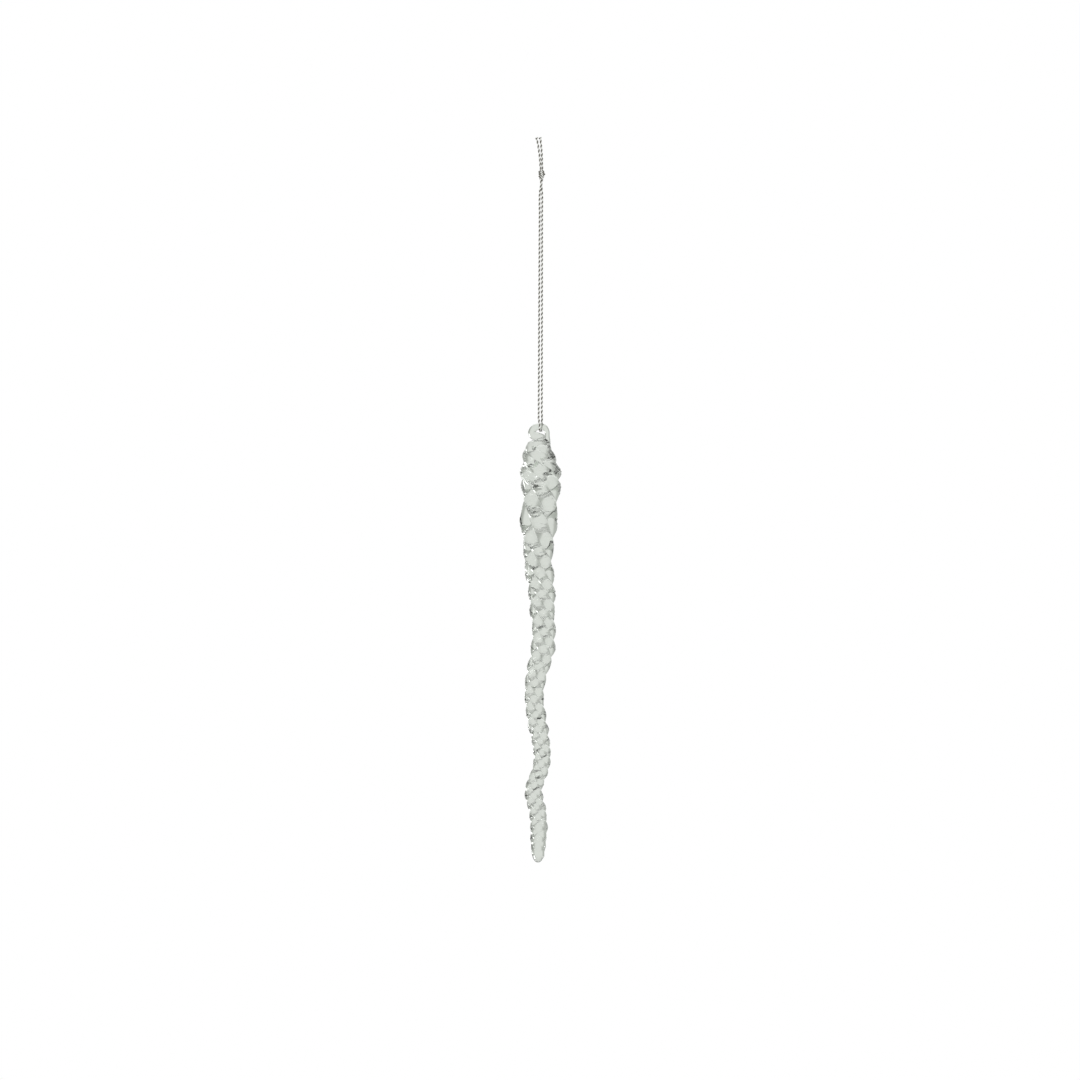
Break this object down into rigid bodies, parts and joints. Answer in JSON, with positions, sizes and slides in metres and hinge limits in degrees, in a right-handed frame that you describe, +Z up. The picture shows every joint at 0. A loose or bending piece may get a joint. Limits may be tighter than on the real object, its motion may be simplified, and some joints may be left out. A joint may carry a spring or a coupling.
{
  "type": "icicle hanging ornament",
  "caption": "Wavy twisted clear glass icicle with a curled eye, hung on a doubled silver cord that is knotted at the top with two cut tails.",
  "frame": {"origin": "the hanging point, between the two legs of the cord just under the knot", "axes": "+Z up along the cord, -Y towards the front, from where the eye's hole is seen face on, +X to the right seen from the front"},
  "size_m": [0.0141, 0.0144, 0.2502],
  "materials": {
    "clear_glass": "clear, polished, with a faint grey-green body tint",
    "silver_cord": "metallised silver thread, two plies twisted together"
  },
  "bodies": {
    "knot": {"cord_knot": "silver_cord"},
    "front_tail": {"front_tail": "silver_cord"},
    "rear_tail": {"rear_tail": "silver_cord"},
    "loop_top": {"left_leg_top": "silver_cord", "right_leg_top": "silver_cord"},
    "loop_upper": {"left_leg_upper": "silver_cord", "right_leg_upper": "silver_cord"},
    "loop_middle": {"left_leg_middle": "silver_cord", "right_leg_middle": "silver_cord"},
    "loop_lower": {"left_leg_lower": "silver_cord", "right_leg_lower": "silver_cord"},
    "loop_foot": {"left_leg_foot": "silver_cord", "right_leg_foot": "silver_cord"},
    "bight": {"cord_bight": "silver_cord"},
    "icicle": {"glass_eye": "clear_glass", "glass_icicle": "clear_glass"}
  },
  "joints": [
    {"name": "loop_side_swing", "type": "hinge", "parent": "knot", "child": "loop_top", "pos_m": [0, 0, -0.00427], "axis": [0, 1, 0], "range_deg": [-45, 45]},
    {"name": "loop_front_swing", "type": "hinge", "parent": "loop_top", "child": "loop_upper", "pos_m": [0, 0, -0.01536], "axis": [1, 0, 0], "range_deg": [-45, 45]},
    {"name": "cord_side_bend", "type": "hinge", "parent": "loop_upper", "child": "loop_middle", "pos_m": [0, 0, -0.03243], "axis": [0, 1, 0], "range_deg": [-35, 35]},
    {"name": "cord_twist", "type": "hinge", "parent": "loop_middle", "child": "loop_lower", "pos_m": [0, 0, -0.0495], "axis": [0, 0, 1], "range_deg": [-170, 170]},
    {"name": "cord_front_bend", "type": "hinge", "parent": "loop_lower", "child": "loop_foot", "pos_m": [0, 0, -0.06657], "axis": [1, 0, 0], "range_deg": [-35, 35]},
    {"name": "eye_side_swing", "type": "hinge", "parent": "loop_foot", "child": "bight", "pos_m": [0, 0, -0.07895], "axis": [0, 1, 0], "range_deg": [-50, 50]},
    {"name": "eye_front_rock", "type": "hinge", "parent": "bight", "child": "icicle", "pos_m": [0, 0, -0.08535], "axis": [1, 0, 0], "range_deg": [-80, 80]},
    {"name": "front_tail_flop", "type": "hinge", "parent": "knot", "child": "front_tail", "pos_m": [0.0003, 0, 0.00366], "axis": [0, 1, 0], "range_deg": [-75, 75]},
    {"name": "rear_tail_flop", "type": "hinge", "parent": "knot", "child": "rear_tail", "pos_m": [0.0003, 0, 0.00366], "axis": [0, 1, 0], "range_deg": [-75, 75]}
  ]
}
